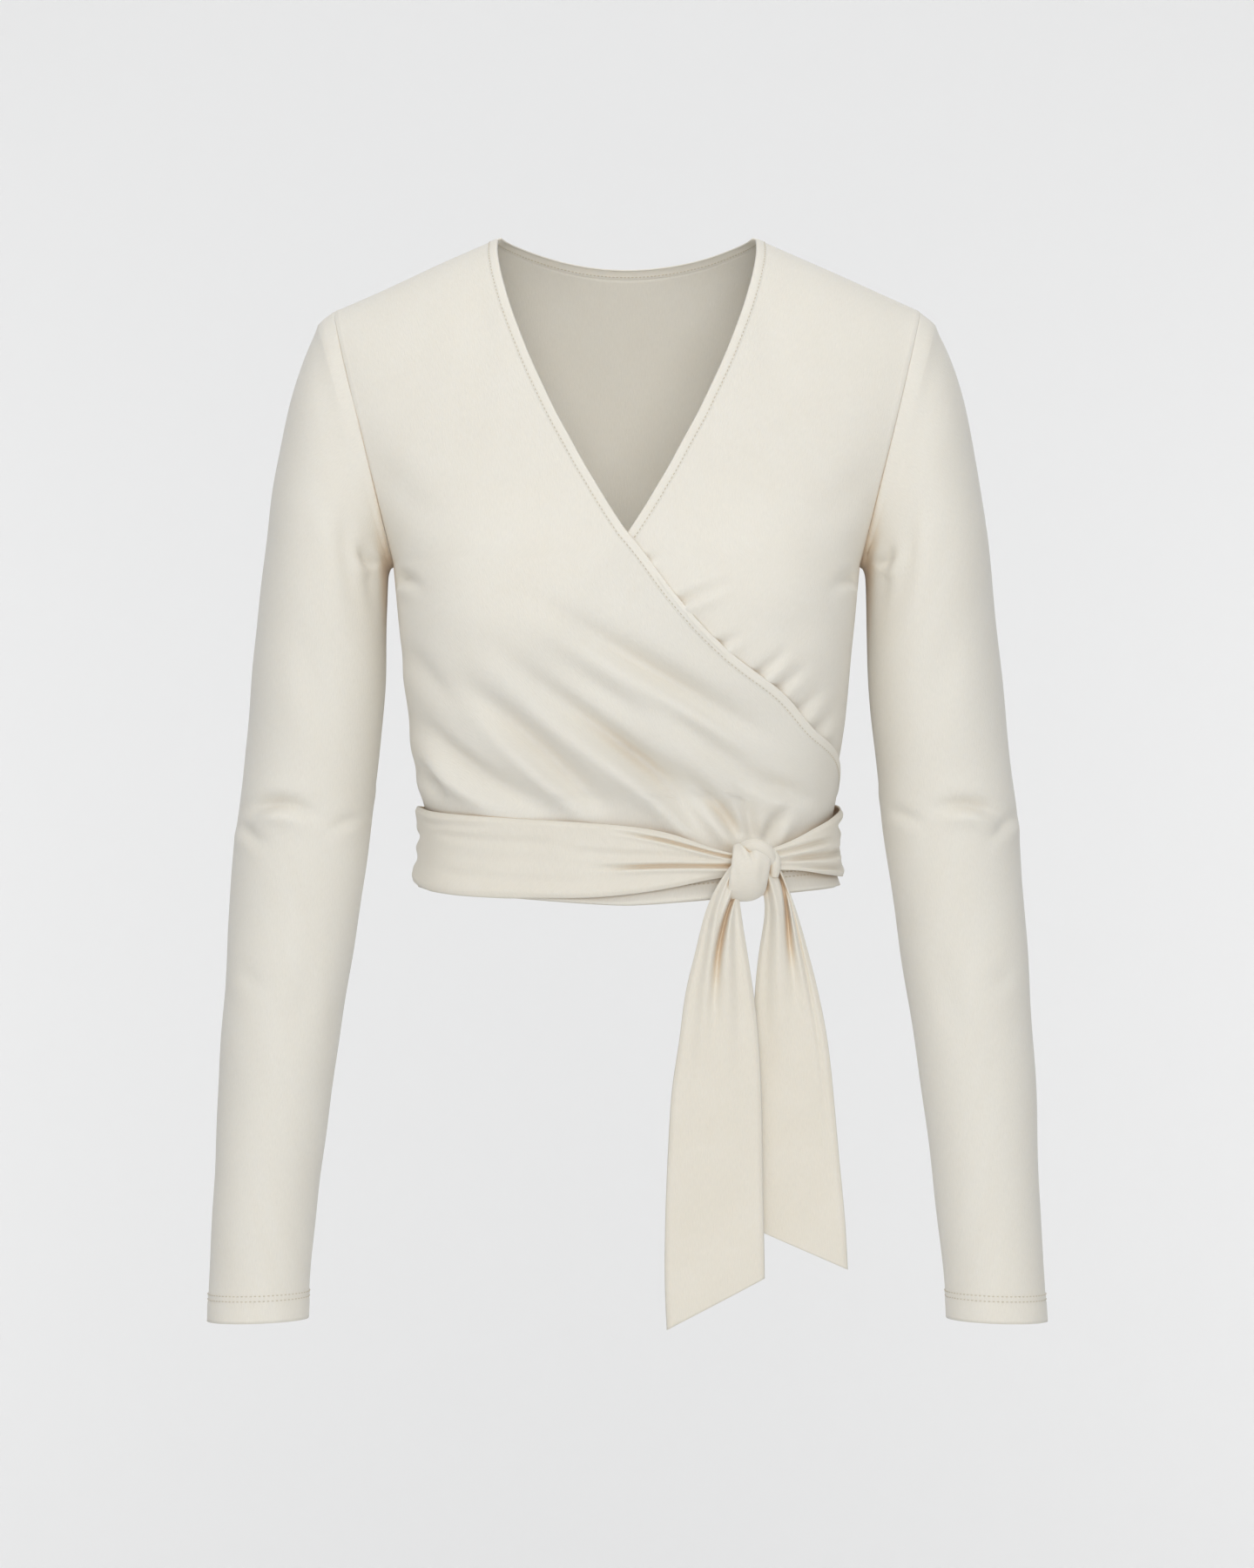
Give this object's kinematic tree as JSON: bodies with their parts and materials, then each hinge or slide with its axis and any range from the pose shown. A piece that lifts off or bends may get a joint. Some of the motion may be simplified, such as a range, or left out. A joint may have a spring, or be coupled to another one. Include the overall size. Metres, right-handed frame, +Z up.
{
  "type": "wrap top",
  "caption": "Cropped long-sleeved jersey wrap top with a crossed V neck, and a waist tie knotted at the front with two hanging ends.",
  "frame": {"origin": "middle of the neck opening, level with the neck ends of the shoulder seams, where the wearer's neck and shoulders hold the top up", "axes": "+Z up, -Y the wearer's front, +X the wearer's left"},
  "size_m": [0.512, 0.2024, 0.6641],
  "materials": {
    "jersey": "matte, fine vertical knit",
    "neckband": "matte, folded jersey with one line of topstitch",
    "tie": "matte, doubled jersey"
  },
  "bodies": {
    "root": {"back": "jersey", "front_right": "jersey", "front_left": "jersey", "sleeve_right": "jersey", "sleeve_left": "jersey", "neckband_right": "neckband", "neckband_back": "neckband", "neckband_left": "neckband", "tie_over": "tie", "tie_under": "tie", "knot": "tie", "tail_front": "tie", "tail_back": "tie"}
  },
  "joints": []
}
